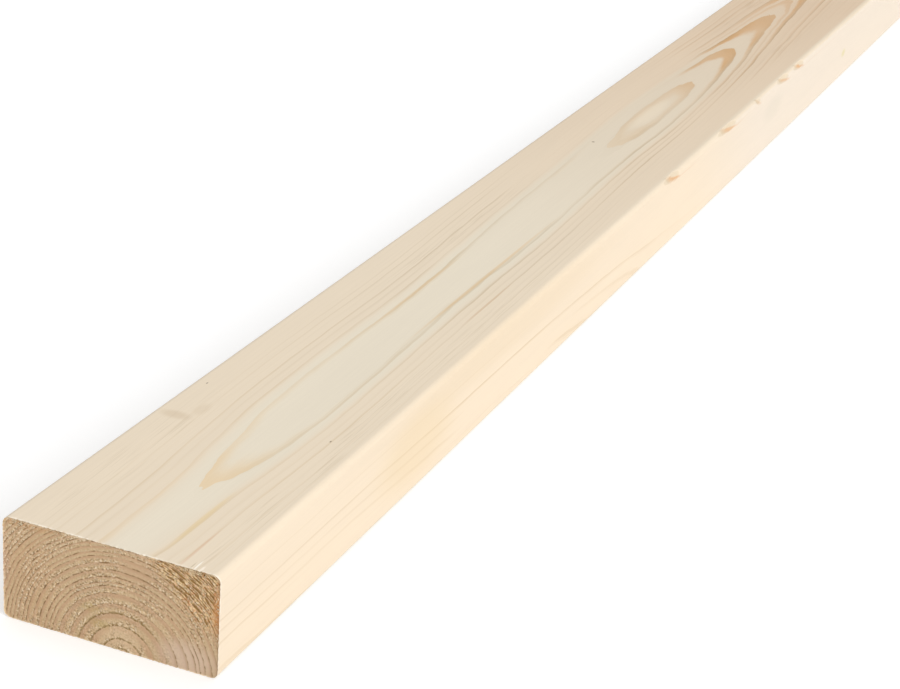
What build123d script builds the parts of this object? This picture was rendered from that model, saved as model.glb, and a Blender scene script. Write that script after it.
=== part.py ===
from build123d import *
import math
import os

# Planed softwood plank, millimetres. X is the width, Y the length and Z is up.
# It lies on a wide face, with the origin at the middle of that face.

# The stock: its planed section and the length it is sold in
LENGTH = 2400.0
WIDTH = 94.0
THICKNESS = 44.0

# The planer's rounded knives ease all four long corners
ARRIS_RADIUS = 3.0

# Torn grain along the upper +X arris, where the knives lifted the fibres and broke them out.
# Each tear has the distance of its deepest point from the -Y end, its length and its depth.
TEARS = (
    (549.0, 30.0, 1.2),
    (665.0, 42.0, 1.1),
    (731.0, 14.0, 0.5),
    (797.0, 30.0, 1.3),
    (838.0, 28.0, 1.2),
)
# A tear feathers in from the -Y end and breaks off steeply: the share of it past its deepest point
STEEP_SHARE = 0.28
# The roundness of a tear across the arris, and the way it faces, in degrees up from +X
TEAR_RADIUS = 10.0
TEAR_LEAN = 38.0

NEAR_END = -LENGTH / 2


def tear_plane(from_end, depth):
    """The plane of a tear's outline, on its axis: x runs along the grain and y into the wood."""
    lean = math.radians(TEAR_LEAN)
    outward = Vector(math.cos(lean), 0, math.sin(lean))
    along_grain = Vector(0, 1, 0)
    arris_centre = Vector(WIDTH / 2 - ARRIS_RADIUS, NEAR_END + from_end, THICKNESS - ARRIS_RADIUS)
    axis_height = ARRIS_RADIUS + TEAR_RADIUS - depth
    return Plane(
        origin=arris_centre + outward * axis_height,
        x_dir=along_grain,
        z_dir=outward.cross(along_grain),
    )


with BuildPart() as plank:
    # The blank, sawn square at both ends
    with BuildSketch(Plane.XZ):
        with Locations((0, THICKNESS / 2)):
            Rectangle(WIDTH, THICKNESS)
    extrude(amount=LENGTH / 2, both=True)

    # The four long corners, eased by the planer
    fillet(plank.edges().filter_by(Axis.Y), radius=ARRIS_RADIUS)

    # Each tear is the belly of a spindle that lies along the arris, just outside the wood
    for from_end, tear_length, depth in TEARS:
        outline = tear_plane(from_end, depth)
        spindle_length = tear_length * math.sqrt(TEAR_RADIUS / depth)
        deepest = (0, TEAR_RADIUS)
        steep_tip = (spindle_length * STEEP_SHARE, 0)
        feathered_tip = (-spindle_length * (1 - STEEP_SHARE), 0)
        with BuildSketch(outline):
            with BuildLine():
                TangentArc(deepest, steep_tip, tangent=(1, 0))
                TangentArc(deepest, feathered_tip, tangent=(-1, 0))
                Line(feathered_tip, steep_tip)
            make_face()
        revolve(axis=Axis(outline.origin, outline.x_dir), mode=Mode.SUBTRACT)

plank.part.label = "plank"

os.makedirs("parts", exist_ok=True)
export_step(plank.part, "parts/plank.step")
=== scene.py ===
"""A plank of planed softwood lying flat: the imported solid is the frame, and this dresses it as real pine.
Sizes are in millimetres. "distance" is always measured along the plank from the end nearest the camera."""

import math
import random
from bisect import bisect_right

import bmesh
import bpy
from mathutils import Matrix, Vector, noise


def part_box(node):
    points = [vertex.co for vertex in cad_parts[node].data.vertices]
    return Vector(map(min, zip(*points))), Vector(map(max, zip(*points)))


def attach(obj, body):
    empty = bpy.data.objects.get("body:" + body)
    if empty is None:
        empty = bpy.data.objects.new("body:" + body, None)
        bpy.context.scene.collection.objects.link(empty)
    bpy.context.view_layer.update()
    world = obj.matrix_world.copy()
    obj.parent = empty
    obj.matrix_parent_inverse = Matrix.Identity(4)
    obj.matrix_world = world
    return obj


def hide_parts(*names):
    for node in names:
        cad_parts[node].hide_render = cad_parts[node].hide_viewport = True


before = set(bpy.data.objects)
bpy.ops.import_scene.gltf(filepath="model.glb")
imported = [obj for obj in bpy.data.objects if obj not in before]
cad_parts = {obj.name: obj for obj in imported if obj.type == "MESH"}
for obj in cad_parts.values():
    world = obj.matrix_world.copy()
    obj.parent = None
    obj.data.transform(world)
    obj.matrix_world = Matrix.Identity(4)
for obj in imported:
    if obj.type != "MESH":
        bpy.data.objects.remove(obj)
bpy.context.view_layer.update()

# The plank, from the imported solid
MM = 0.001
LOW, HIGH = (Vector(corner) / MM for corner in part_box("plank"))
WIDTH, LENGTH, THICKNESS = HIGH - LOW
NEAR_END = LOW.y
ARRIS_RADIUS = 3.0

# Torn grain along the upper right arris, as cut in the solid: the distance of the deepest point, the length
# and the depth, and how plainly the wood laid bare is tinted
TEARS = (
    (549, 30, 1.2, 0.9),
    (665, 42, 1.1, 0.8),
    (731, 14, 0.5, 0.3),
    (797, 30, 1.3, 0.7),
    (838, 28, 1.2, 1.0),
)
TEAR_STEEP_SHARE = 0.28
TEAR_RADIUS = 10.0
TEAR_LEAN = math.radians(38)

# The tree. Its pith wanders below the plank: the distance, its sideways place, its height, and how lopsided
# the rings are, as the share by which they are wider to the right. Where the pith comes nearest, the rings
# arch on the upper face.
PITH = (
    (0, 5.5, -4.55, 0.026),
    (60, 5.3, -4.32, 0.020),
    (82, 5.1, -3.8, 0.018),
    (112, 4.8, -3.2, 0.015),
    (150, 4.4, -2.6, 0.008),
    (215, 3.9, -2.65, 0.004),
    (300, 3.6, -3.05, 0.010),
    (415, 1.7, -2.3, 0.007),
    (538, -2.4, -2.25, 0.026),
    (580, -3.3, -1.9, 0.030),
    (654, -4.4, -1.2, 0.038),
    (742, -5.2, -2.05, 0.040),
    (780, -5.7, -3.0, 0.052),
    (815, -6.1, -3.5, 0.048),
    (838, -6.3, -4.15, 0.044),
    (890, -6.8, -5.1, 0.034),
    (962, -7.5, -6.05, 0.012),
    (1100, -8.6, -8.3, 0.020),
    (1400, -7.1, -11.6, 0.020),
    (1700, -10.1, -8.6, 0.020),
    (2050, -13.1, -12.6, 0.020),
    (2400, -11.1, -15.6, 0.020),
)
# Each year's ring: the radius of its outer edge, and how plainly it shows on the upper face, on the right
# edge and on the sawn ends
RINGS = (
    (0.0, 0.0, 0.0, 0.0),
    (5.3, 0.5, 0.4, 0.6),
    (9.2, 0.6, 0.5, 1.0),
    (14.8, 0.9, 0.6, 1.0),
    (19.9, 0.8, 0.6, 1.0),
    (24.1, 0.7, 0.6, 0.6),
    (28.8, 0.6, 0.5, 0.5),
    (31.9, 0.6, 0.5, 0.7),
    (33.5, 0.3, 0.3, 0.6),
    (35.7, 0.8, 0.6, 0.9),
    (38.5, 0.7, 0.6, 0.9),
    (41.5, 0.8, 0.6, 0.8),
    (44.3, 0.5, 0.0, 0.5),
    (46.0, 0.9, 0.6, 0.7),
    (48.25, 1.0, 0.5, 0.4),
    (50.1, 1.0, 1.0, 0.6),
    (51.7, 0.3, 0.0, 0.5),
    (53.4, 1.0, 0.0, 0.7),
    (55.6, 0.15, 0.4, 0.6),
    (57.4, 0.6, 0.0, 0.6),
    (59.6, 0.4, 0.0, 0.6),
    (61.2, 0.1, 0.0, 0.5),
    (63.0, 0.05, 0.0, 0.6),
    (65.2, 0.1, 0.0, 0.6),
    (67.5, 0.05, 0.0, 0.6),
    (69.8, 0.1, 0.0, 0.6),
    (72.2, 0.1, 0.0, 0.6),
    (74.6, 0.1, 0.0, 0.6),
    (77.0, 0.1, 0.0, 0.6),
    (79.5, 0.1, 0.0, 0.6),
    (82.0, 0.1, 0.0, 0.6),
)
RING_RADII = [ring[0] for ring in RINGS]
LAST_RING = len(RINGS) - 1
LARGEST_RADIUS = 84.0
# Towards the right some rings near the heart's border lie closer together: by how much, between which radii
# and from which slant
SQUEEZE = 0.9
SQUEEZE_STARTS, SQUEEZE_ENDS, SQUEEZE_SLANT = (42.0, 45.0), (47.6, 50.0), (0.75, 0.9)
# The distance round the pith is measured at this radius, so that patterns there keep their size
ROUND_AT = 30.0


def smoothstep(low, high, value):
    """0 up to low, 1 from high on, and smooth between them."""
    share = min(max((value - low) / (high - low), 0.0), 1.0)
    return share * share * (3 - 2 * share)


def bell(value, middle, width):
    """1 at the middle, falling to nothing a few widths away."""
    return math.exp(-(((value - middle) / width) ** 2))


def pith_at(distance):
    """The pith's sideways place, its height and how lopsided its rings are, that far along the plank."""
    after = min(max(bisect_right([row[0] for row in PITH], distance), 1), len(PITH) - 1)
    before, behind = PITH[after - 1], PITH[after]
    share = (distance - before[0]) / (behind[0] - before[0])
    return [a + (b - a) * share for a, b in zip(before[1:], behind[1:])]


def round_the_pith(x, z, distance):
    """A point's radius, as its ring is counted, and its place round the pith."""
    pith_x, pith_z, lopsided = pith_at(distance)
    across, up = x - pith_x, z - pith_z
    radius = math.hypot(across, up) - lopsided * across
    slant = across / math.hypot(across, up)
    near_border = smoothstep(*SQUEEZE_STARTS, radius) * (1 - smoothstep(*SQUEEZE_ENDS, radius))
    radius += SQUEEZE * near_border * smoothstep(*SQUEEZE_SLANT, slant)
    return radius, math.atan2(across, up) * ROUND_AT


# Mesh of the plank

END_CELLS_X, END_CELLS_Z = 268, 126
PLAIN_STEP = 120.0
TEAR_STEP = 3.0
RAGGED_STEPS = (3.0, 1.4, 0.7, 0.3)
# The sawn ends lie this far inside the solid's, so that splinters and proud fibres stay within it
END_DEPTH = 0.6
DEEPEST_PIT = 1.6
# How far in from a sawn edge its pale lip, frayed fibre with a painted highlight, reaches, and how far its
# fibres are crushed
LIP_AND_HIGHLIGHT, CRUSHED = 1.3, 2.0


def stations():
    """The places of the walls' rings of vertices, from the far edge to the start of the ragged near edge."""
    places = {LENGTH * i / round(LENGTH / PLAIN_STEP) for i in range(1, round(LENGTH / PLAIN_STEP))}
    places |= {LENGTH - off for off in RAGGED_STEPS}
    for middle, length, *_ in TEARS:
        start = middle - length * (1 - TEAR_STEEP_SHARE)
        count = math.ceil(length / TEAR_STEP) + 2
        places = {p for p in places if not start - 8 < p < start + length + 8}
        places |= {start + length * (i - 0.5) / (count - 2) for i in range(count)}
    return sorted(places, reverse=True)


def plank_mesh():
    """The plank as one closed mesh: a fine grid on the near end, a coarser one on the far end, and walls."""
    bm = bmesh.new()

    def end_grid(cells_x, cells_z, y):
        lie = Matrix.Translation((0, y, THICKNESS / 2)) @ Matrix.Rotation(math.pi / 2, 4, "X")
        size = Matrix.Diagonal((WIDTH / 2, THICKNESS / 2, 1, 1))
        bmesh.ops.create_grid(bm, x_segments=cells_x, y_segments=cells_z, size=1, matrix=lie @ size)

    def run_on(rim, distance):
        """Extrudes the open rim of the walls to a place along the plank, and gives the new rim."""
        made = bmesh.ops.extrude_edge_only(bm, edges=rim)["geom"]
        rim = [g for g in made if isinstance(g, bmesh.types.BMEdge) and g.is_boundary]
        for v in {v for e in rim for v in e.verts}:
            v.co.y = NEAR_END + distance
        return rim

    end_grid(END_CELLS_X // 2, END_CELLS_Z // 2, NEAR_END + LENGTH)
    rim = [e for e in bm.edges if e.is_boundary]
    for distance in stations():
        rim = run_on(rim, distance)
    # Twice as many vertices round the last stretch, to meet the near end's finer grid
    bmesh.ops.subdivide_edges(bm, edges=rim, cuts=1)
    rim = [e for e in bm.edges if e.is_boundary]
    for distance in (*RAGGED_STEPS, 0.0):
        rim = run_on(rim, distance)
    end_grid(END_CELLS_X, END_CELLS_Z, NEAR_END)
    bmesh.ops.remove_doubles(bm, verts=[v for v in bm.verts if v.is_boundary], dist=0.02)

    # Finer faces where the arris is torn
    def is_torn(v):
        distance = v.co.y - NEAR_END
        near_tear = any(m - 1.1 * length < distance < m + 0.6 * length for m, length, *_ in TEARS)
        return near_tear and v.co.x > WIDTH / 2 - 6.5 and v.co.z > THICKNESS - 7.5

    torn_edges = [e for e in bm.edges if all(is_torn(v) for v in e.verts)]
    bmesh.ops.subdivide_edges(bm, edges=torn_edges, cuts=1, use_grid_fill=True)
    bmesh.ops.recalc_face_normals(bm, faces=bm.faces)
    return bm


def round_arris(x, z):
    """Moves a point of the square section so that its corners are round, and all between follows."""
    centre_x = WIDTH / 2 - ARRIS_RADIUS
    centre_z = THICKNESS / 2 - ARRIS_RADIUS
    across, up = abs(x) - centre_x, abs(z - THICKNESS / 2) - centre_z
    if across <= 0 or up <= 0:
        return x, z
    radius = max(across, up)
    angle = math.pi / 4 * min(across, up) / radius
    if up > across:
        angle = math.pi / 2 - angle
    x = math.copysign(centre_x + radius * math.cos(angle), x)
    z = THICKNESS / 2 + math.copysign(centre_z + radius * math.sin(angle), z - THICKNESS / 2)
    return x, z


def tear_depth(x, z, distance):
    """How far a point near the upper right arris must move into the wood to lie in the tear there."""
    out_x, out_z = math.cos(TEAR_LEAN), math.sin(TEAR_LEAN)
    from_centre_x = x - (WIDTH / 2 - ARRIS_RADIUS)
    from_centre_z = z - (THICKNESS - ARRIS_RADIUS)
    outward = from_centre_x * out_x + from_centre_z * out_z
    across = -from_centre_x * out_z + from_centre_z * out_x
    deepest = 0.0
    for middle, length, depth, _ in TEARS:
        reach = length * (TEAR_STEEP_SHARE if distance > middle else 1 - TEAR_STEEP_SHARE)
        here = depth * (1 - ((distance - middle) / reach) ** 2)
        if here > 0:
            deepest = max(deepest, outward - ARRIS_RADIUS + here - across * across / (2 * TEAR_RADIUS))
    # Torn fibres leave ridges along the grain
    return deepest * (1 + 0.16 * noise.noise(Vector((across / 0.55, distance / 9, 5.5))))


def tear_tints(x, z, distance):
    """How plainly torn wood is tinted at a point of the arris: amber, and a painted shade the tone of the
    upper face, in wedges that start at its upper edge and slant down to amber points on the right face."""
    from_centre_x = x - (WIDTH / 2 - ARRIS_RADIUS)
    from_centre_z = z - (THICKNESS - ARRIS_RADIUS)
    if from_centre_z > 0:
        over = ARRIS_RADIUS * math.atan2(from_centre_x, from_centre_z)
    else:
        over = ARRIS_RADIUS * math.pi / 2 - from_centre_z
    ragged = noise.noise(Vector((over / 0.8, distance / 7, 2.5)))
    amber, painted_shade = 0.0, 0.0
    for middle, length, _, tint in TEARS:
        through = (distance - middle + 0.55 * length) / (0.9 * length)
        if 0 < through < 1:
            inside = 2.4 * (1 - through) ** 0.6 + 0.9 * ragged - abs(over - 1.4 - 4.6 * through)
            shown = smoothstep(-0.4, 1.2, inside)
            amber = max(amber, tint * shown * smoothstep(0.05, 0.5, through))
            painted_shade = max(painted_shade, shown * smoothstep(0, 0.15, through) * (1 - smoothstep(0.4, 0.8, through)))
    return amber, painted_shade


def torn_zone(x, z):
    """1 where the saw tore the end's fibres out in long gashes, in the upper right part of the end."""
    return smoothstep(19, 29, x + 0.86 * (z - 36)) * smoothstep(15, 24, z)


def smooth_zone(x, z):
    """1 where the saw left the end cleaner: the lower right, and a patch above the pith."""
    lower_right = smoothstep(22, 29, x) * (1 - smoothstep(9, 17, z))
    above_pith = smoothstep(0, 0.6, 1 - math.hypot((x - 12) / 9, (z - 35) / 6))
    return max(lower_right, above_pith)


def end_relief(x, z, distance):
    """The sawn end at a point: how far it stands out, its radius and place round the pith, and how rough,
    torn and clean it is."""
    radius, around = round_the_pith(x, z, distance)
    waver = 0.45 * noise.noise(Vector((x / 24, z / 24, 6.1)))
    radius += waver + 0.25 * noise.noise(Vector((x / 6, z / 6, 8.2)))
    ring = min(bisect_right(RING_RADII, radius), LAST_RING)
    past = radius - RING_RADII[ring - 1]
    before = RING_RADII[ring] - radius
    late = smoothstep(0.42, 0.7, past / (past + before))
    torn, smooth = torn_zone(x, z), smooth_zone(x, z)
    groove = max(RINGS[ring - 1][3] * bell(past, 0, 0.35), RINGS[ring][3] * bell(before, 0, 0.25))

    # Fuzz is thickest just outside a ring's edge. Its clumps are drawn at nearly a millimetre, coarser than
    # the fibres, as finer ones would be lost between the mesh's points
    clumps = noise.noise(Vector((x / 0.9, z / 0.9, 7.7)))
    streaks = noise.noise(Vector((radius / 0.9, around / 1.6, 1.3)))
    patchy = smoothstep(-0.3, 0.25, noise.noise(Vector((radius / 5, around / 9, 4.4))))
    rough = (1 - 0.85 * smooth) * (0.3 + 0.7 * patchy) * (1 - 0.5 * late) + 0.4 * torn

    waves = noise.noise(Vector((x / 17, z / 17, 3.1)))
    stands = 0.05 * late + 0.1 * waves - 0.07 * groove + rough * (0.3 * clumps + 0.18 * streaks)
    return stands, radius, around, rough, torn, smooth


def frayed_lip_and_highlight(x, z, off):
    """How pale a sawn edge is, that far off it: crushed fibres and a painted highlight, palest on the upper
    edge's left.
    """
    pale = 0.45 + noise.noise(Vector((x / 0.9, 1.5, z / 0.9 + 30)))
    pale += 1.2 * noise.noise(Vector((x / 7, 0.5, z / 7)))
    if z > THICKNESS / 2:
        pale += 0.8 * bell(x, -33, 8)
    return min(max(pale, 0.0), 1.0) * max(1 - off / LIP_AND_HIGHLIGHT, 0.0)


def finish_plank():
    """Shapes the plank: round arrises, torn grain, rough sawn ends, and edges that the saw left ragged."""
    bm = plank_mesh()
    names = ("stands", "radius", "around", "rough", "gashed", "clean", "lip_and_highlight", "torn", "scoop_shade")
    layers = {name: bm.verts.layers.float.new(name) for name in names}
    for face in bm.faces:
        face.smooth = True
        face.material_index = 1 if abs(face.normal.y) > 0.9 else 0
    for edge in bm.edges:
        if len({f.material_index for f in edge.link_faces}) > 1:
            edge.smooth = False
    for v in bm.verts:
        on_end = any(f.material_index == 1 for f in v.link_faces)
        on_wall = any(f.material_index == 0 for f in v.link_faces)
        distance = v.co.y - NEAR_END
        x, z = round_arris(v.co.x, v.co.z)
        if x > WIDTH / 2 - 7 and z > THICKNESS - 8 and not on_end:
            bite = tear_depth(x, z, distance)
            # Amber where the wood is torn, and painted shade over the scoop, the tone of the upper face
            v[layers["torn"]], painted_shade = tear_tints(x, z, distance)
            v[layers["scoop_shade"]] = max(painted_shade, 0.55 * smoothstep(0.02, 0.3, bite))
            x -= bite * math.cos(TEAR_LEAN)
            z -= bite * math.sin(TEAR_LEAN)
        from_end = min(distance, LENGTH - distance)
        if on_wall and from_end < CRUSHED:
            # Fibres where the saw came through are crushed and frayed, and paler, with a painted highlight
            # along the edge
            frayed = noise.noise(Vector((x / 0.9, distance / 2, z / 0.9 + 30)))
            crushed = max(0.12 + 0.3 * frayed, 0.0)
            z += crushed * (1 - from_end / CRUSHED) * (-1 if z > THICKNESS / 2 else 1)
            v[layers["lip_and_highlight"]] = frayed_lip_and_highlight(x, z, from_end)
        elif on_end:
            v[layers["lip_and_highlight"]] = frayed_lip_and_highlight(x, z, THICKNESS - z)
        if on_end:
            stands, *fields = end_relief(x, z, distance)
            depth = min(max(END_DEPTH - stands, 0.0), DEEPEST_PIT)
            if on_wall:
                depth = max(0.25 + 0.35 * noise.noise(Vector((x / 0.8, z / 0.8, 2.2))), 0.0)
            for name, value in zip(names, (stands, *fields)):
                v[layers[name]] = value
            distance += depth if distance < LENGTH / 2 else -depth
        v.co = Vector((x, NEAR_END + distance, z)) * MM
    return new_piece("plank_wood", bm)


def new_piece(name, bm):
    """Turns a bmesh in metres into an object at the origin that rides on the plank's body."""
    mesh = bpy.data.meshes.new(name)
    bm.to_mesh(mesh)
    bm.free()
    piece = bpy.data.objects.new(name, mesh)
    bpy.context.collection.objects.link(piece)
    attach(piece, "root")
    return piece


def splinters():
    """Slivers that the saw left hanging round the near end's upper edge and down its right edge."""
    bm = bmesh.new()
    draw = random.Random(11)
    # Slivers stand out from the sawn end, but stay this far inside the solid's box
    margin = 0.04

    def sliver(x, z, length, thick, angle):
        """A thin tapered fibre on the sawn end, from its root at x, z, at an angle from straight up."""
        made = bmesh.ops.create_cone(
            bm, cap_ends=True, segments=5, radius1=thick / 2, radius2=thick / 12, depth=length
        )["verts"]
        bmesh.ops.translate(bm, verts=made, vec=(0, 0, length / 2))
        for v in made:
            # A sliver curls as it thins
            v.co.x += draw.uniform(0.9, 1.1) * 0.07 * v.co.z * v.co.z
        lean = Matrix.Rotation(draw.uniform(-0.1, 0.02), 4, "X")
        turn = Matrix.Rotation(angle, 4, "Y")
        place = Matrix.Translation((x, NEAR_END + 0.36, z))
        bmesh.ops.transform(bm, matrix=place @ turn @ lean, verts=made)
        for v in made:
            v.co.y = max(v.co.y, NEAR_END + margin)
            v.co.z = min(v.co.z, THICKNESS - margin)
            v.co.x = min(v.co.x, WIDTH / 2 - margin)

    for _ in range(90):
        # Most hang from the edge above the torn fibres and at the left corner
        middle, spread = draw.choice(((-41, 4), (-22, 4), (28, 6), (34, 6), (38, 5), (0, 44)))
        x = min(max(draw.gauss(middle, spread / 2), -44), 43.5)
        size = draw.uniform(0.9, 2.6), draw.uniform(0.2, 0.42)
        sliver(x, THICKNESS - draw.uniform(0.3, 2.0), *size, draw.gauss(0.4, 0.8))
    for _ in range(34):
        size = draw.uniform(0.8, 2.0), draw.uniform(0.18, 0.36)
        sliver(WIDTH / 2 - draw.uniform(0.5, 1.6), draw.uniform(14, 38), *size, draw.gauss(1.9, 0.8))
    bmesh.ops.recalc_face_normals(bm, faces=bm.faces)
    bmesh.ops.scale(bm, vec=(MM, MM, MM), verts=bm.verts)
    for face in bm.faces:
        face.smooth = True
    return new_piece("splinters", bm)


# Materials


def srgb(code):
    """A colour written as sRGB hex, as the linear colour that a socket takes."""
    parts = [int(code[i : i + 2], 16) / 255 for i in (1, 3, 5)]
    return (*(p / 12.92 if p <= 0.04045 else ((p + 0.055) / 1.055) ** 2.4 for p in parts), 1.0)


def add(tree, kind, links=None, points=None, handles="AUTO", **settings):
    """Adds a node: its settings, its inputs' values and links, by number or name, and a curve's points."""
    node = tree.nodes.new(kind)
    for name, value in settings.items():
        setattr(node, name, value)
    for key, value in (links or {}).items():
        named = [s for s in node.inputs if s.enabled and s.name == key]
        socket = named[0] if named else node.inputs[key]
        if isinstance(value, bpy.types.Node):
            value = next(s for s in value.outputs if s.enabled)
        if isinstance(value, bpy.types.NodeSocket):
            tree.links.new(value, socket)
        else:
            socket.default_value = value
    if points:
        curve = node.mapping.curves[0]
        for _ in points[2:]:
            curve.points.new(0.5, 0.5)
        for point, place in zip(curve.points, points):
            point.location = place
            point.handle_type = handles
        node.mapping.update()
    return node


def step(tree, value, low, high):
    """A smooth step from 0 at low to 1 at high, or down from 1 if low is the larger."""
    ends = {"Value": value, "From Min": min(low, high), "From Max": max(low, high)}
    if low > high:
        ends |= {"To Min": 1.0, "To Max": 0.0}
    return add(tree, "ShaderNodeMapRange", ends, interpolation_type="SMOOTHSTEP")


def along_plank(tree, distance, points, most=1.0):
    """A value that changes along the plank, given as distances and values up to the most."""
    share = add(tree, "ShaderNodeMath", {0: distance, 1: LENGTH}, operation="DIVIDE")
    curve = add(tree, "ShaderNodeFloatCurve", {"Value": share}, [(d / LENGTH, v / most) for d, v in points])
    return add(tree, "ShaderNodeMath", {0: curve, 1: most}, operation="MULTIPLY")


def count_rings(tree, radius):
    """How many rings lie within a radius, with the part of the ring that it falls in."""
    points = [(r / LARGEST_RADIUS, k / LAST_RING) for k, r in enumerate(RING_RADII)]
    reach = add(tree, "ShaderNodeMath", {0: radius, 1: LARGEST_RADIUS}, operation="DIVIDE")
    curve = add(tree, "ShaderNodeFloatCurve", {"Value": reach}, points, "VECTOR")
    return add(tree, "ShaderNodeMath", {0: curve, 1: LAST_RING}, operation="MULTIPLY")


def ring_line(tree, radius, inwards, outwards, offset=0.0):
    """1 from a way inside each ring's edge to a way outside it, the edge being moved out by an offset."""
    sides = []
    for way, sign in ((outwards, -1), (inwards, 1)):
        reach = add(tree, "ShaderNodeMath", {0: way, 1: sign, 2: radius}, operation="MULTIPLY_ADD")
        reach = add(tree, "ShaderNodeMath", {0: reach, 1: offset}, operation="SUBTRACT")
        sides.append(add(tree, "ShaderNodeMath", {0: count_rings(tree, reach)}, operation="FLOOR"))
    return add(tree, "ShaderNodeMath", {0: sides[1], 1: sides[0]}, operation="SUBTRACT", use_clamp=True)


def growth_rings():
    """A node group: from a place in the plank to its ring, how far through the ring it lies, and how plainly
    that ring shows."""
    tree = bpy.data.node_groups.new("growth_rings", "ShaderNodeTree")
    tree.interface.new_socket("Place", in_out="INPUT", socket_type="NodeSocketVector")
    names = ("Ring", "Through", "Radius", "Round", "Distance", "Slant", "Line", "On Top", "On Edge")
    for name in names:
        tree.interface.new_socket(name, in_out="OUTPUT", socket_type="NodeSocketFloat")
    place = add(tree, "NodeGroupInput")

    # A tree isn't round: its rings waver by half a millimetre over a hand's length, and less over a finger's
    waver = []
    for size, run in ((26, 160), (5, 22)):
        scale = (1 / size, 1 / run, 1 / size)
        at = add(tree, "ShaderNodeVectorMath", {0: place, 1: scale}, operation="MULTIPLY")
        field = add(tree, "ShaderNodeTexNoise", {"Vector": at, "Scale": 1.0, "Detail": 2.0})
        waver.append(add(tree, "ShaderNodeMath", {0: field, 1: 0.5}, operation="SUBTRACT"))

    parts = add(tree, "ShaderNodeSeparateXYZ", {0: place})
    distance = add(tree, "ShaderNodeMath", {0: parts.outputs["Y"], 1: NEAR_END}, operation="SUBTRACT")
    share = add(tree, "ShaderNodeMath", {0: distance, 1: LENGTH}, operation="DIVIDE")
    pith = []
    for column, reach in ((1, 20.0), (2, 20.0), (3, 0.1)):
        points = [(row[0] / LENGTH, 0.5 + row[column] / (2 * reach)) for row in PITH]
        curve = add(tree, "ShaderNodeFloatCurve", {"Value": share}, points)
        pith.append(add(tree, "ShaderNodeMapRange", {"Value": curve, "To Min": -reach, "To Max": reach}))
    across = add(tree, "ShaderNodeMath", {0: parts.outputs["X"], 1: pith[0]}, operation="SUBTRACT")
    up = add(tree, "ShaderNodeMath", {0: parts.outputs["Z"], 1: pith[1]}, operation="SUBTRACT")
    flat = add(tree, "ShaderNodeCombineXYZ", {"X": across, "Y": up})
    true_radius = add(tree, "ShaderNodeVectorMath", {0: flat}, operation="LENGTH")
    slant = add(tree, "ShaderNodeMath", {0: across, 1: true_radius.outputs["Value"]}, operation="DIVIDE")
    wider = add(tree, "ShaderNodeMath", {0: pith[2], 1: across}, operation="MULTIPLY")
    radius = add(tree, "ShaderNodeMath", {0: true_radius, 1: wider}, operation="SUBTRACT")
    radius = add(tree, "ShaderNodeMath", {0: waver[0], 1: 0.8, 2: radius}, operation="MULTIPLY_ADD")
    radius = add(tree, "ShaderNodeMath", {0: waver[1], 1: 0.45, 2: radius}, operation="MULTIPLY_ADD")

    # The rings near the heart's border are squeezed towards the right, and those outside it further along
    squeezed = step(tree, slant, *SQUEEZE_SLANT)
    for low, high in (SQUEEZE_STARTS, SQUEEZE_ENDS[::-1]):
        part = step(tree, radius, low, high)
        squeezed = add(tree, "ShaderNodeMath", {0: squeezed, 1: part}, operation="MULTIPLY")
    outer = step(tree, radius, 50.2, 51.4)
    radius = add(tree, "ShaderNodeMath", {0: squeezed, 1: SQUEEZE, 2: radius}, operation="MULTIPLY_ADD")
    points = ((0, 0), (450, 0.1), (650, 0.55), (800, 0.8), (925, 1.1), (1300, 1.1), (1700, 0), (LENGTH, 0))
    further = along_plank(tree, distance, points, 1.5)
    radius = add(tree, "ShaderNodeMath", {0: outer, 1: further, 2: radius}, operation="MULTIPLY_ADD")
    # Past the near end they bulge up to the right for a while
    points = ((0, 0), (60, 0.55), (200, 0.65), (400, 0.5), (600, 0.25), (700, 0), (LENGTH, 0))
    bulge = along_plank(tree, distance, points)
    for low, high in ((0.08, 0.3), (0.72, 0.58)):
        bulge = add(tree, "ShaderNodeMath", {0: bulge, 1: step(tree, slant, low, high)}, operation="MULTIPLY")
    radius = add(tree, "ShaderNodeMath", {0: radius, 1: bulge}, operation="SUBTRACT")

    counted = count_rings(tree, radius)
    ring = add(tree, "ShaderNodeMath", {0: counted}, operation="FLOOR")
    through = add(tree, "ShaderNodeMath", {0: counted}, operation="FRACT")
    # Each line has a dark core and a paler border
    core = ring_line(tree, radius, 0.3, 0.0)
    line = add(tree, "ShaderNodeMix", {"Factor": 0.4, "A": core, "B": ring_line(tree, radius, 0.55, 0.1)})
    angle = add(tree, "ShaderNodeMath", {0: across, 1: up}, operation="ARCTAN2")
    around = add(tree, "ShaderNodeMath", {0: angle, 1: ROUND_AT}, operation="MULTIPLY")
    ring_share = add(tree, "ShaderNodeMath", {0: ring, 1: LAST_RING}, operation="DIVIDE")
    plain = []
    for column in (1, 2):
        points = [((k - 1) / LAST_RING, row[column]) for k, row in enumerate(RINGS) if k]
        plain.append(add(tree, "ShaderNodeFloatCurve", {"Value": ring_share}, points, "VECTOR"))
    values = (ring, through, radius, around, distance, slant, line, *plain)
    add(tree, "NodeGroupOutput", dict(zip(names, values)))
    return tree


def start_material(name):
    """A bare material, and the place in the plank in millimetres."""
    mat = bpy.data.materials.new(name)
    mat.use_nodes = True
    tree = mat.node_tree
    tree.nodes.clear()
    spot = add(tree, "ShaderNodeTexCoord")
    place = add(tree, "ShaderNodeVectorMath", {0: spot.outputs["Object"], "Scale": 1 / MM}, operation="SCALE")
    return mat, tree, place


def soft_patch(tree, place, middle, reach, core=0.3):
    """1 in the core of an ellipsoid with half axes reach, 0 outside it. The middle's y is a distance."""
    middle = (middle[0], NEAR_END + middle[1], middle[2])
    off = add(tree, "ShaderNodeVectorMath", {0: place, 1: middle}, operation="SUBTRACT")
    off = add(tree, "ShaderNodeVectorMath", {0: off, 1: [1 / r for r in reach]}, operation="MULTIPLY")
    far = add(tree, "ShaderNodeVectorMath", {0: off}, operation="LENGTH").outputs["Value"]
    return step(tree, far, 1.0, core)


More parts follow.
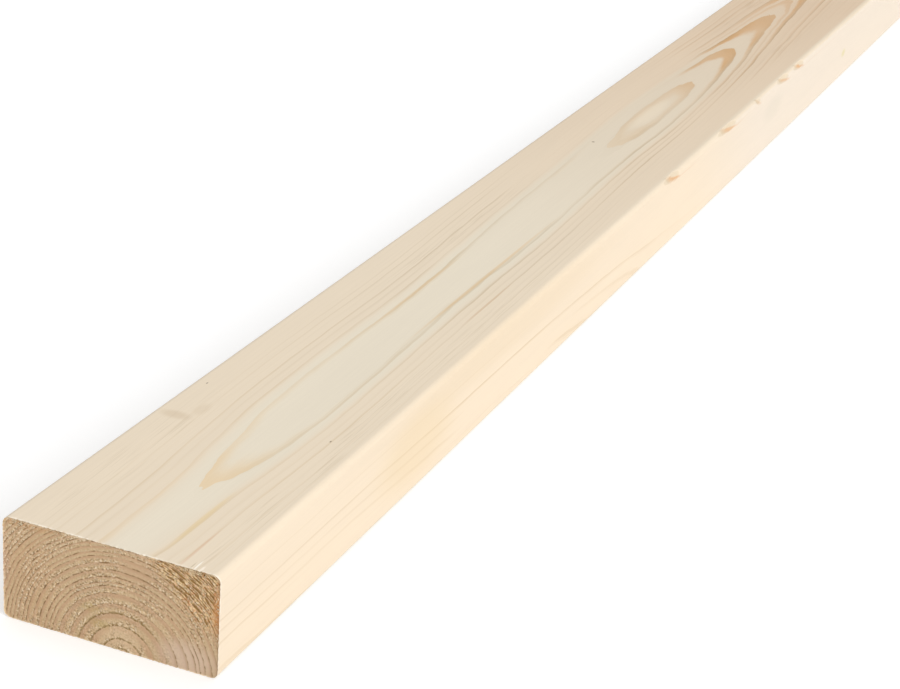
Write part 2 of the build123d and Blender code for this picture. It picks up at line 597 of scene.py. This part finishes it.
def stain(tree, wood, place, marks):
    """The wood's colour with marks laid over it: each one's middle, half axes, colour and strength."""
    for middle, reach, colour, strength in marks:
        patch = soft_patch(tree, place, middle, reach)
        patch = add(tree, "ShaderNodeMath", {0: patch, 1: strength}, operation="MULTIPLY")
        wood = add(tree, "ShaderNodeMix", {"Factor": patch, "A": wood, "B": srgb(colour)}, data_type="RGBA")
    return wood


# Marks on the planed faces. The middle's second number is its distance along the plank
MARKS = (
    # Two dark specks, and a short tick across the grain
    ((31.7, 122.6, 44), (0.5, 1.1, 2), "#5f4a33", 0.8),
    ((-40.3, 147, 44), (0.5, 1.2, 2), "#5f4a33", 0.7),
    ((-14.5, 577, 44), (1.3, 1.3, 2), "#7d6648", 0.8),
    # A faint brown band across the left
    ((-36, 112, 44), (10, 5, 3), "#cdb798", 0.4),
    ((-29, 122, 44), (4, 9, 3), "#cdb798", 0.25),
    # Stretches of the lines where resin makes them amber
    ((19.6, 35, 44), (1.8, 34, 2), "#e6cb92", 0.45),
    ((29.8, 14, 44), (0.9, 24, 2), "#d2986a", 0.3),
    ((29.8, 300, 44), (0.9, 40, 2), "#c99a66", 0.3),
    ((15.2, 335, 44), (1.4, 120, 2), "#dcae66", 0.35),
    ((-6.6, 300, 44), (1.4, 70, 2), "#dcb478", 0.3),
    # The island of a ring is palest in its middle
    ((-3.7, 654, 44), (7, 50, 2), "#f1e0c5", 0.45),
    # Pale slivers lifted off the upper face where the saw came through, and a tan clump
    ((35.8, 3.5, 44), (0.5, 5.5, 2), "#fdf6e8", 0.9),
    ((38.4, 2, 44), (0.8, 3, 2), "#fbeedb", 0.9),
    ((34.2, 2.5, 44), (0.4, 3.5, 2), "#bfae90", 0.6),
    ((-20.5, 0.4, 44), (1.6, 1.0, 2), "#dcbd92", 0.6),
    # On the right face: warmer wood near the end, an olive fleck and a faint grey patch
    ((47, 290, 37), (5, 200, 15), "#e0caa8", 0.35),
    ((47, 180, 22), (5, 55, 22), "#e2c99c", 0.35),
    ((47, 975, 19.6), (3, 8, 4), "#d8cc8e", 0.6),
    ((47, 770, 28), (5, 32, 11), "#d9cebb", 0.4),
)
# Where thin extra lines crowd the upper face: the middle of each patch and its half axes
LINED_PATCHES = (
    ((38, 120, 44), (8, 380, 5)),
    ((-32, 60, 44), (13, 130, 5)),
    ((-28, 960, 44), (9, 110, 5)),
    ((24, 900, 44), (6, 110, 5)),
    ((-22, 380, 44), (8, 160, 5)),
)
# Where the rings fade or all but vanish, and how much of them is kept: places left of the middle of the upper
# face, its right further along, the right face's lower lines for a stretch, and its uppermost line past the
# near end
FADED_PATCHES = (
    ((-27, 640, 44), (18, 210, 8), 0.12),
    ((-6, 110, 44), (6, 120, 8), 0.6),
    ((-13, 440, 44), (7, 130, 8), 0.5),
    ((-20, 960, 44), (5, 90, 8), 0.55),
    ((38, 720, 44), (11, 300, 8), 0.2),
    ((47, 300, 13), (4, 100, 8), 0.0),
    ((47, 600, 36), (4, 390, 13), 0.0),
)


def planed_pine():
    """Pine, planed: cream earlywood, thin ochre latewood lines that arch where the cut grazes a ring, and a
    dull sheen."""
    mat, tree, place = start_material("planed_pine")
    rings = add(tree, "ShaderNodeGroup", node_tree=GROWTH)
    tree.links.new(place.outputs[0], rings.inputs["Place"])
    through, radius, distance = (rings.outputs[name] for name in ("Through", "Radius", "Distance"))
    parts = add(tree, "ShaderNodeSeparateXYZ", {0: place})
    sideways = add(tree, "ShaderNodeMath", {0: parts.outputs["X"]}, operation="ABSOLUTE")
    at_edge = step(tree, sideways, 45.6, 46.4)

    # The heart is paler and cooler than the sapwood round it, and its border lies further out further along
    border = along_plank(tree, distance, ((0, 0.9), (550, 0.9), (700, 0.6), (850, 1.8), (LENGTH, 1.8)), 3.0)
    outside = add(tree, "ShaderNodeMath", {0: radius, 1: border}, operation="SUBTRACT")
    outer = step(tree, outside, 47.5, 49.2)
    inland = add(tree, "ShaderNodeMath", {0: 1.0, 1: at_edge}, operation="SUBTRACT")
    outer = add(tree, "ShaderNodeMath", {0: outer, 1: inland}, operation="MULTIPLY")
    heart = add(tree, "ShaderNodeMath", {0: inland, 1: outer}, operation="SUBTRACT")
    cooler = step(tree, distance, 560.0, 760.0)
    sap = {"Factor": cooler, "A": srgb("#ebd9c0"), "B": srgb("#e7d9c7")}
    sap = add(tree, "ShaderNodeMix", sap, data_type="RGBA")
    sap = add(tree, "ShaderNodeMix", {"Factor": at_edge, "A": srgb("#e9d9c1"), "B": sap}, data_type="RGBA")
    wood = add(tree, "ShaderNodeMix", {"Factor": heart, "A": sap, "B": srgb("#e8ddc8")}, data_type="RGBA")

    # Each ring's line comes and goes over a hand's length, and all but vanishes in a few places
    seed = add(tree, "ShaderNodeMath", {0: rings.outputs["Ring"], 1: 7.3}, operation="MULTIPLY")
    along = add(tree, "ShaderNodeMath", {0: distance, 1: 1 / 110}, operation="MULTIPLY")
    side_of = add(tree, "ShaderNodeMath", {0: rings.outputs["Round"], 1: 1 / 25}, operation="MULTIPLY")
    at = add(tree, "ShaderNodeCombineXYZ", {"X": seed, "Y": along, "Z": side_of})
    wander = add(tree, "ShaderNodeTexNoise", {"Vector": at, "Scale": 1.0, "Detail": 1.0})
    wander = {"Value": wander, "From Min": 0.3, "From Max": 0.7, "To Min": 0.6, "To Max": 1.3}
    wander = add(tree, "ShaderNodeMapRange", wander)
    plain = {"Factor": at_edge, "A": rings.outputs["On Top"], "B": rings.outputs["On Edge"]}
    plain = add(tree, "ShaderNodeMix", plain)
    plain = add(tree, "ShaderNodeMath", {0: plain, 1: wander}, operation="MULTIPLY")
    for middle, reach, kept in FADED_PATCHES:
        faded = soft_patch(tree, place, middle, reach, 0.75)
        kept = add(tree, "ShaderNodeMapRange", {"Value": faded, "To Min": 1.0, "To Max": kept})
        plain = add(tree, "ShaderNodeMath", {0: plain, 1: kept}, operation="MULTIPLY")

    # Latewood: amber where a ring is cut at a low angle, deeper and over more of the ring further along
    points = ((0, 0.55), (120, 0.62), (400, 0.72), (560, 0.58), (654, 0.56), (740, 0.5), (780, 0.6))
    starts = along_plank(tree, distance, (*points, (810, 0.52), (880, 0.42), (930, 0.38), (LENGTH, 0.42)))
    points = ((0, 1.0), (450, 1.0), (580, 0.92), (700, 0.84), (780, 0.85), (815, 0.66), (880, 0.68))
    ends = along_plank(tree, distance, (*points, (930, 0.64), (LENGTH, 0.8)))
    amber = {"Value": through, "From Min": starts, "From Max": ends}
    amber = add(tree, "ShaderNodeMapRange", amber, interpolation_type="SMOOTHSTEP")
    points = ((0, 0.45), (80, 0.6), (450, 0.4), (570, 0.5), (654, 0.42), (740, 0.75), (810, 1.1), (895, 1.0))
    amount = along_plank(tree, distance, (*points, (930, 1.3), (970, 1.2), (LENGTH, 1.1)), 2.0)
    steep = add(tree, "ShaderNodeMath", {0: rings.outputs["Slant"]}, operation="ABSOLUTE")
    grazed = {"Value": step(tree, steep, 0.16, 0.3), "To Min": 1.0, "To Max": 0.35}
    grazed = add(tree, "ShaderNodeMapRange", grazed)
    for part in (inland, plain, grazed, amount):
        amber = add(tree, "ShaderNodeMath", {0: amber, 1: part}, operation="MULTIPLY", use_clamp=True)
    deeper = step(tree, distance, 480.0, 820.0)
    late = {"Factor": deeper, "A": srgb("#eac996"), "B": srgb("#ddb47e")}
    late = add(tree, "ShaderNodeMix", late, data_type="RGBA")
    wood = add(tree, "ShaderNodeMix", {"Factor": amber, "A": wood, "B": late}, data_type="RGBA")

    # The thin brown line at each ring's outer edge, lost where the cut grazes the ring and further along the
    # plank's edges
    points = ((0, 0.14), (120, 0.13), (300, 0.24), (400, 0.27), (500, 0.2), (600, 0.34), (700, 0.2))
    on_top = along_plank(tree, distance, (*points, (860, 0.36), (LENGTH, 0.32)))
    points = ((0, 0.36), (60, 0.28), (120, 0.27), (200, 0.32), (300, 0.5), (400, 0.32), (500, 0.2))
    on_edge = along_plank(tree, distance, (*points, (620, 0.04), (LENGTH, 0.05)))
    bold = add(tree, "ShaderNodeMix", {"Factor": at_edge, "A": on_top, "B": on_edge})
    crossed = add(tree, "ShaderNodeMapRange", {"Value": step(tree, steep, 0.06, 0.28), "To Min": 0.25})
    line = rings.outputs["Line"]
    for part in (bold, crossed, plain):
        line = add(tree, "ShaderNodeMath", {0: line, 1: part}, operation="MULTIPLY", use_clamp=True)
    brown = {"Factor": at_edge, "A": srgb("#a08a5e"), "B": srgb("#c0a068")}
    brown = add(tree, "ShaderNodeMix", brown, data_type="RGBA")
    wood = add(tree, "ShaderNodeMix", {"Factor": line, "A": wood, "B": brown}, data_type="RGBA")

    # Thin broken lines within the rings, a millimetre or two apart, crowd a few places
    finely = add(tree, "ShaderNodeMath", {0: radius, 1: 1 / 0.4}, operation="MULTIPLY")
    along = add(tree, "ShaderNodeMath", {0: distance, 1: 1 / 40}, operation="MULTIPLY")
    at = add(tree, "ShaderNodeCombineXYZ", {"X": finely, "Y": along})
    thin = add(tree, "ShaderNodeTexNoise", {"Vector": at, "Scale": 1.0, "Detail": 1.0})
    thin = {"Value": thin, "From Min": 0.56, "From Max": 0.66, "To Max": 0.15}
    thin = add(tree, "ShaderNodeMapRange", thin)
    where = 0.0
    for middle, reach in LINED_PATCHES:
        crowded = soft_patch(tree, place, middle, reach)
        where = add(tree, "ShaderNodeMath", {0: crowded, 1: where}, operation="MAXIMUM")
    thin = add(tree, "ShaderNodeMath", {0: thin, 1: where}, operation="MULTIPLY")
    wood = add(tree, "ShaderNodeMix", {"Factor": thin, "A": wood, "B": brown}, data_type="RGBA")

    # Towards the middle of the plank its upper face is darker and warmer, but not next to the right arris
    warm = add(tree, "ShaderNodeMapRange", {"Value": distance, "From Min": 350.0, "From Max": 1000.0})
    for part in (step(tree, parts.outputs["Z"], 42.8, 43.9), step(tree, parts.outputs["X"], 44.2, 41.4)):
        warm = add(tree, "ShaderNodeMath", {0: warm, 1: part}, operation="MULTIPLY")
    tint = {"Factor": warm, "A": (1, 1, 1, 1), "B": (0.895, 0.815, 0.755, 1)}
    tint = add(tree, "ShaderNodeMix", tint, data_type="RGBA")
    wood = add(tree, "ShaderNodeVectorMath", {0: wood, 1: tint}, operation="MULTIPLY")

    # Fibres: fine pale and dark streaks along the grain, under a millimetre wide, and broad faint clouds
    shade = 1.0
    for size, run, low, high, detail in ((0.9, 45, 0.982, 1.014, 4.0), (22, 240, 0.985, 1.015, 1.0)):
        scale = (1 / size, 1 / run, 1 / size)
        at = add(tree, "ShaderNodeVectorMath", {0: place, 1: scale}, operation="MULTIPLY")
        field = {"Vector": at, "Scale": 1.0, "Detail": detail, "Roughness": 0.6}
        field = add(tree, "ShaderNodeTexNoise", field)
        part = {"Value": field, "From Min": 0.3, "From Max": 0.7, "To Min": low, "To Max": high}
        part = add(tree, "ShaderNodeMapRange", part)
        shade = add(tree, "ShaderNodeMath", {0: part, 1: shade}, operation="MULTIPLY")
    wood = add(tree, "ShaderNodeVectorMath", {0: wood, "Scale": shade}, operation="SCALE")
    wood = stain(tree, wood, place, MARKS)

    # Torn places show darker wood with resin in it, and painted shade over their scoops like the upper
    # face's; the sawn edges show a fringe of pale frayed fibre with a painted highlight
    over = (("scoop_shade", "#d2c0a3", 0.85), ("torn", "#dcad80", 0.95), ("lip_and_highlight", "#fff6e6", 0.95))
    for name, colour, strength in over:
        field = add(tree, "ShaderNodeAttribute", attribute_name=name).outputs["Fac"]
        factor = add(tree, "ShaderNodeMath", {0: field, 1: strength}, operation="MULTIPLY")
        wood = add(tree, "ShaderNodeMix", {"Factor": factor, "A": wood, "B": srgb(colour)}, data_type="RGBA")

    relief = add(tree, "ShaderNodeMath", {0: amber, 1: 0.5, 2: shade}, operation="MULTIPLY_ADD")
    bump = add(tree, "ShaderNodeBump", {"Height": relief, "Strength": 0.5, "Distance": 0.05 * MM})
    gloss = add(tree, "ShaderNodeMapRange", {"Value": amber, "To Min": 0.6, "To Max": 0.48})
    shader = add(tree, "ShaderNodeBsdfPrincipled", {"Base Color": wood, "Roughness": gloss, "Normal": bump})
    add(tree, "ShaderNodeOutputMaterial", {"Surface": shader})
    return mat


# Tints on the sawn end: the middle, the half axes, the colour and how strong
END_TINTS = (
    ((-36, 0, 22), (16, 4, 26), "#c99c70", 0.25),
    ((34, 0, 5), (18, 4, 11), "#e2c8b2", 0.7),
    ((12, 0, 36), (14, 4, 9), "#cfaa88", 0.5),
    ((5, 0, 4), (14, 4, 10), "#e1c5a0", 0.65),
    ((-4, 0, 9), (7, 4, 3), "#b3a04e", 0.3),
    ((-8, 0, 15), (6, 4, 3), "#b3a04e", 0.25),
    ((-36, 0, 44), (20, 4, 5), "#cf9a64", 0.45),
    ((-47, 0, 24), (4, 4, 18), "#cda088", 0.4),
)


def sawn_end_grain():
    """Pine, cut across by a saw: darker than the planed faces, as cut fibres drink light, with rough and
    crushed rings."""
    mat, tree, place = start_material("sawn_end_grain")
    names = ("stands", "radius", "around", "rough", "gashed", "clean", "lip_and_highlight")
    stands, radius, around, rough, gashed, clean, lip_and_highlight = (
        add(tree, "ShaderNodeAttribute", attribute_name=name).outputs["Fac"] for name in names
    )

    def field(across, along, seed, low, high):
        """Noise that runs with the rings, by its size across and along them, with low..high made 0..1."""
        at = add(tree, "ShaderNodeCombineXYZ", {"X": radius, "Y": around, "Z": seed})
        at = add(tree, "ShaderNodeVectorMath", {0: at, 1: (1 / across, 1 / along, 1.0)}, operation="MULTIPLY")
        mist = add(tree, "ShaderNodeTexNoise", {"Vector": at, "Scale": 1.0, "Detail": 1.0})
        return add(tree, "ShaderNodeMapRange", {"Value": mist, "From Min": low, "From Max": high})

    def grain(size, seed, low, high):
        """Noise of no direction, by its size in millimetres, with low..high made 0..1."""
        at = {0: place, 1: (1 / size, 1 / size, 1 / size), 2: (seed, 0, seed)}
        at = add(tree, "ShaderNodeVectorMath", at, operation="MULTIPLY_ADD")
        mist = add(tree, "ShaderNodeTexNoise", {"Vector": at, "Scale": 1.0, "Detail": 1.0})
        return add(tree, "ShaderNodeMapRange", {"Value": mist, "From Min": low, "From Max": high})

    def paint(wood, colour, strength, *factors):
        """Lays a colour over the wood, as strongly as the product of the factors says."""
        for factor in factors:
            pair = {0: factor, 1: strength}
            strength = add(tree, "ShaderNodeMath", pair, operation="MULTIPLY", use_clamp=True)
        coats = {"Factor": strength, "A": wood, "B": srgb(colour)}
        return add(tree, "ShaderNodeMix", coats, data_type="RGBA")

    # Smooth latewood in the outer part of each ring, darker where the saw left the end clean
    counted = count_rings(tree, radius)
    through = add(tree, "ShaderNodeMath", {0: counted}, operation="FRACT")
    wood = paint(srgb("#d4b78e"), "#caa581", 1.0, step(tree, through, 0.4, 0.75))
    wood = stain(tree, wood, place, END_TINTS)
    wood = paint(wood, "#a98a64", 0.6, step(tree, through, 0.6, 1.0), clean)

    # How plain each ring is on the sawn end
    points = [(row[0] / LARGEST_RADIUS, row[3]) for row in RINGS]
    share = add(tree, "ShaderNodeMath", {0: radius, 1: LARGEST_RADIUS}, operation="DIVIDE")
    plain = add(tree, "ShaderNodeFloatCurve", {"Value": share}, points, "VECTOR")

    # Crushed fibre ends: dark pits, and pale fuzz that is thickest just outside a ring's edge. Both are drawn
    # at nearly a millimetre, coarser than the half millimetre of the wood, as finer ones would be lost in the
    # picture
    pits = grain(0.85, 31.0, 0.5, 0.62)
    fuzz = grain(0.85, 57.0, 0.5, 0.62)
    early = {"Value": step(tree, through, 0.6, 0.1), "To Min": 0.45, "To Max": 1.0}
    early = add(tree, "ShaderNodeMapRange", early)
    wood = paint(wood, "#94724a", 0.75, pits, rough)
    wood = paint(wood, "#f1dcbd", 0.9, fuzz, rough, early)

    # A pale line inside a ring's edge, painted highlight on the ridge there, and the dark groove that the saw
    # tore along it in short dashes, darkened with painted shade
    pale = ring_line(tree, radius, 0.3, 0.3, -0.7)
    wood = paint(wood, "#ead5b0", 0.5, pale, field(1.0, 1.6, 10.0, 0.42, 0.6), rough)
    width = add(tree, "ShaderNodeMath", {0: field(1.5, 2.2, 0.0, 0.4, 0.62), 1: 0.36}, operation="MULTIPLY")
    width = add(tree, "ShaderNodeMath", {0: width, 1: plain}, operation="MULTIPLY")
    # Fuzz hides the grooves to the right of the pith
    shown = soft_patch(tree, place, (21, 0, 3), (10, 4, 12))
    shown = add(tree, "ShaderNodeMapRange", {"Value": shown, "To Min": 1.0, "To Max": 0.2})
    groove_shade_dashes = grain(1.1, 73.0, 0.36, 0.5)
    wood = paint(wood, "#836236", 0.8, ring_line(tree, radius, width, width), groove_shade_dashes, shown)
    # The innermost rings' grooves are the widest and olive brown, darkened with painted shade
    width = add(tree, "ShaderNodeMath", {0: field(1.5, 3.5, 40.0, 0.4, 0.65), 1: 0.6}, operation="MULTIPLY")
    olive = ring_line(tree, radius, width, width, 0.2)
    wood = paint(wood, "#8f7540", 0.6, olive, step(tree, radius, 25.0, 20.0), shown)

    # Where the fibres tore out: ochre gashes along the rings, with pale and pinkish fibres between them and a
    # few rusty ones
    wood = paint(wood, "#eecd98", 0.8, grain(0.9, 80.0, 0.48, 0.6), gashed)
    wood = paint(wood, "#e3b48a", 0.65, grain(1.3, 90.0, 0.54, 0.64), gashed)
    wood = paint(wood, "#bf7c42", 0.6, grain(1.5, 95.0, 0.6, 0.7), gashed)
    for offset, seed, most, strength in ((0.1, 20.0, 0.5, 0.85), (-0.95, 30.0, 0.34, 0.7)):
        width = {0: field(1.3, 2.2, seed, 0.42, 0.6), 1: gashed}
        width = add(tree, "ShaderNodeMath", width, operation="MULTIPLY")
        width = add(tree, "ShaderNodeMath", {0: width, 1: most}, operation="MULTIPLY")
        wood = paint(wood, "#8a6220", strength, ring_line(tree, radius, width, width, offset))
    # Resin warms the strip along the right edge
    wood = stain(tree, wood, place, (((47.2, 0, 28), (4.4, 4, 15), "#d7965a", 0.8),))
    # A pale lip along the upper edge: frayed fibre, with a painted highlight
    wood = paint(wood, "#fbe8c8", 0.9, lip_and_highlight)

    # Painted shade and highlight: darker where the end's relief sinks, lighter where it stands out
    relief_shade = {"Value": stands, "From Min": -0.35, "From Max": 0.25, "To Min": 0.84, "To Max": 1.12}
    relief_shade = add(tree, "ShaderNodeMapRange", relief_shade)
    wood = add(tree, "ShaderNodeVectorMath", {0: wood, "Scale": relief_shade}, operation="SCALE")
    grit = add(tree, "ShaderNodeMath", {0: fuzz, 1: pits}, operation="SUBTRACT")
    grit = add(tree, "ShaderNodeMath", {0: grit, 1: rough}, operation="MULTIPLY")
    bump = add(tree, "ShaderNodeBump", {"Height": grit, "Strength": 0.5, "Distance": 0.12 * MM})
    shader = add(tree, "ShaderNodeBsdfPrincipled", {"Base Color": wood, "Roughness": 0.85, "Normal": bump})
    add(tree, "ShaderNodeOutputMaterial", {"Surface": shader})
    return mat


def torn_fibre():
    """Pine splinters, torn: single fibre bundles, pale and slightly silky, darker at some roots."""
    mat, tree, place = start_material("torn_fibre")
    at = add(tree, "ShaderNodeVectorMath", {0: place, 1: (1 / 2.5, 1 / 2.5, 1 / 2.5)}, operation="MULTIPLY")
    field = add(tree, "ShaderNodeTexNoise", {"Vector": at, "Scale": 1.0, "Detail": 2.0})
    factor = add(tree, "ShaderNodeMapRange", {"Value": field, "From Min": 0.4, "From Max": 0.65})
    wood = {"Factor": factor, "A": srgb("#f2e2c0"), "B": srgb("#dcb27c")}
    wood = add(tree, "ShaderNodeMix", wood, data_type="RGBA")
    shader = add(tree, "ShaderNodeBsdfPrincipled", {"Base Color": wood, "Roughness": 0.6})
    add(tree, "ShaderNodeOutputMaterial", {"Surface": shader})
    return mat


GROWTH = growth_rings()
plank = finish_plank()
plank.data.materials.append(planed_pine())
plank.data.materials.append(sawn_end_grain())
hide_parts("plank")
splinters().data.materials.append(torn_fibre())


# Floor, light and camera


def studio_floor():
    """A plain white floor: the camera sees it as white, less the plank's soft shadow."""
    mesh = bpy.data.meshes.new("floor")
    bm = bmesh.new()
    bmesh.ops.create_grid(bm, x_segments=1, y_segments=1, size=40.0)
    bm.to_mesh(mesh)
    bm.free()
    floor = bpy.data.objects.new("floor", mesh)
    bpy.context.collection.objects.link(floor)
    mat = bpy.data.materials.new("white_floor")
    mat.use_nodes = True
    tree = mat.node_tree
    tree.nodes.clear()
    paint = add(tree, "ShaderNodeBsdfDiffuse", {"Color": srgb("#e8e8e8")})
    path = add(tree, "ShaderNodeLightPath").outputs
    seen = path["Is Camera Ray"]
    for ray in ("Is Glossy Ray", "Is Transmission Ray"):
        seen = add(tree, "ShaderNodeMath", {0: seen, 1: path[ray]}, operation="MAXIMUM")
    glow = add(tree, "ShaderNodeEmission", {"Color": (1, 1, 1, 1), "Strength": 0.3})
    nothing = add(tree, "ShaderNodeEmission", {"Color": (0, 0, 0, 1), "Strength": 0.0})
    extra = add(tree, "ShaderNodeMixShader", {0: seen, 1: nothing, 2: glow})
    both = add(tree, "ShaderNodeAddShader", {0: paint, 1: extra})
    add(tree, "ShaderNodeOutputMaterial", {"Surface": both})
    mesh.materials.append(mat)


def sun(name, towards, strength, spread):
    """A large soft lamp that lights the whole plank evenly. towards points from the plank to it."""
    lamp = bpy.data.lights.new(name, "SUN")
    lamp.energy = strength
    lamp.angle = math.radians(spread)
    placed = bpy.data.objects.new(name, lamp)
    placed.rotation_euler = Vector(towards).to_track_quat("Z", "Y").to_euler()
    bpy.context.collection.objects.link(placed)


def world_light():
    """Even light from all round, which the camera sees as white."""
    world = bpy.data.worlds.new("studio")
    bpy.context.scene.world = world
    world.use_nodes = True
    tree = world.node_tree
    tree.nodes.clear()
    path = add(tree, "ShaderNodeLightPath").outputs
    strength = {"Value": path["Is Camera Ray"], "To Min": 0.45, "To Max": 1.0}
    strength = add(tree, "ShaderNodeMapRange", strength)
    sky = add(tree, "ShaderNodeBackground", {"Color": (1, 1, 1, 1), "Strength": strength})
    add(tree, "ShaderNodeOutputWorld", {"Surface": sky})


def camera():
    """The photograph's camera, found from the plank's edges: above and to the right of the near end."""
    data = bpy.data.cameras.new("camera")
    data.sensor_width = 36.0
    data.lens = 86.226
    placed = bpy.data.objects.new("camera", data)
    right = Vector((0.91698743, 0.39281627, 0.06949405))
    up = Vector((-0.21361548, 0.33640369, 0.9171701))
    back = Vector((0.33690128, -0.85587846, 0.39238959))
    turn = Matrix((right, up, back)).transposed().to_4x4()
    stand = Vector((370.694, NEAR_END - 611.724, 436.363)) * MM
    placed.matrix_world = Matrix.Translation(stand) @ turn
    bpy.context.collection.objects.link(placed)
    bpy.context.scene.camera = placed


studio_floor()
sun("right_softbox", (0.80, -0.35, 0.49), 2.04, 40)
sun("overhead_softbox", (-0.1, 0.2, 0.97), 0.75, 60)
world_light()
camera()
bpy.context.scene.view_settings.view_transform = "Standard"
